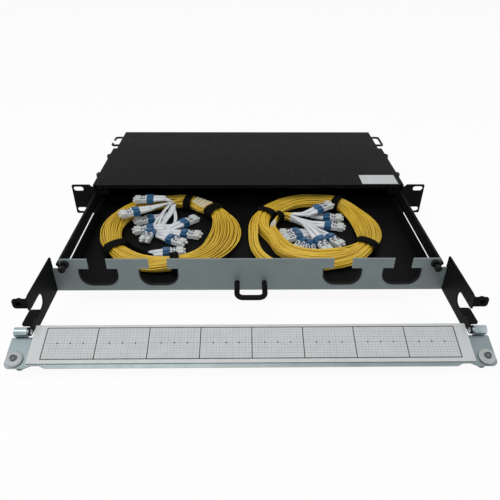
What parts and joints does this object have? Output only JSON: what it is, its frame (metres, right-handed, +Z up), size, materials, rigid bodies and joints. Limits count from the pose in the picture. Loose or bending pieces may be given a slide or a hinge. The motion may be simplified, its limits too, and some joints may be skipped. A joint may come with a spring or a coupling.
{
  "type": "fiber patch panel",
  "caption": "Rack-mount fibre patch panel with a pull-out cable tray, slotted front panel, drop-down label door and coiled yellow fibre cords tied inside the tray.",
  "frame": {"origin": "mid-width of the rack ears, in the plane of their front faces, at the chassis underside", "axes": "+X to the right as seen from the front, +Y from the front towards the rear of the rack, +Z up"},
  "size_m": [0.4826, 0.4885, 0.0626],
  "materials": {
    "black_coat": "black powder coat",
    "grey_panel": "satin grey",
    "zinc": "zinc plated",
    "bright_steel": "bright plated",
    "black_nylon": "moulded nylon",
    "clear_nylon": "milky nylon",
    "rubber": "matt",
    "white_card": "satin white sheet",
    "paper": "matt label stock",
    "yellow_jacket": "cord jacket",
    "white_plastic": "moulded",
    "fabric": "hook and loop tape"
  },
  "bodies": {
    "chassis": {"chassis_shell": "black_coat", "top_cover": "black_coat", "cover_sticker": "paper", "cover_screw_left": "black_coat", "cover_screw_right": "black_coat", "rear_grommet_left": "rubber", "rear_grommet_right": "rubber", "rack_ear_left": "black_coat", "rack_ear_right": "black_coat", "cable_ring_left": "black_nylon", "cable_ring_right": "black_nylon", "ear_screw_left_1": "black_coat", "ear_screw_left_2": "black_coat", "ear_screw_right_1": "black_coat", "ear_screw_right_2": "black_coat"},
    "tray": {"tray_pan": "black_coat", "front_panel": "grey_panel", "pull_handle": "black_coat", "slot_edging_1": "rubber", "slot_edging_2": "rubber", "slot_edging_3": "rubber", "slot_edging_4": "rubber", "handle_screw_left": "black_coat", "handle_screw_right": "black_coat", "side_arm_left": "black_coat", "side_arm_right": "black_coat", "hinge_pin_left": "bright_steel", "hinge_pin_right": "bright_steel", "slide_rail_left": "black_coat", "slide_rail_right": "black_coat", "tray_latch_left": "black_nylon", "tray_latch_right": "black_nylon", "fibre_coil_left": "yellow_jacket", "fibre_coil_right": "yellow_jacket", "cord_tie_left_1": "fabric", "cord_tie_left_2": "fabric", "cord_tie_left_3": "fabric", "cord_tie_left_4": "fabric", "cord_tie_right_1": "fabric", "cord_tie_right_2": "fabric", "cord_tie_right_3": "fabric", "plug_left_1": "white_plastic", "plug_left_2": "white_plastic", "plug_left_3": "white_plastic", "plug_left_4": "white_plastic", "plug_left_5": "white_plastic", "plug_right_1": "white_plastic", "plug_right_2": "white_plastic", "plug_right_3": "white_plastic", "plug_right_4": "white_plastic", "plug_right_5": "white_plastic"},
    "door": {"door_plate": "zinc", "label_panel": "white_card", "label_card": "paper", "door_latch_left": "clear_nylon", "door_latch_right": "clear_nylon"},
    "tray_catch_pin_left": {"tray_plunger_left": "black_nylon"},
    "door_catch_pin_left": {"door_plunger_left": "clear_nylon"},
    "tray_catch_pin_right": {"tray_plunger_right": "black_nylon"},
    "door_catch_pin_right": {"door_plunger_right": "clear_nylon"}
  },
  "joints": [
    {"name": "tray_slide", "type": "slide", "parent": "chassis", "child": "tray", "axis": [0, 1, 0], "range_m": [0, 0.17]},
    {"name": "door_hinge", "type": "hinge", "parent": "tray", "child": "door", "pos_m": [0, -0.2505, 0.0094], "axis": [-1, 0, 0], "range_deg": [0, 107.8]},
    {"name": "tray_latch_push_left", "type": "slide", "parent": "tray", "child": "tray_catch_pin_left", "axis": [0, 1, 0], "range_m": [0, 0.006]},
    {"name": "door_latch_push_left", "type": "slide", "parent": "door", "child": "door_catch_pin_left", "axis": [0, -0.3057, 0.9521], "range_m": [0, 0.01]},
    {"name": "tray_latch_push_right", "type": "slide", "parent": "tray", "child": "tray_catch_pin_right", "axis": [0, 1, 0], "range_m": [0, 0.006]},
    {"name": "door_latch_push_right", "type": "slide", "parent": "door", "child": "door_catch_pin_right", "axis": [0, -0.3057, 0.9521], "range_m": [0, 0.01]}
  ]
}
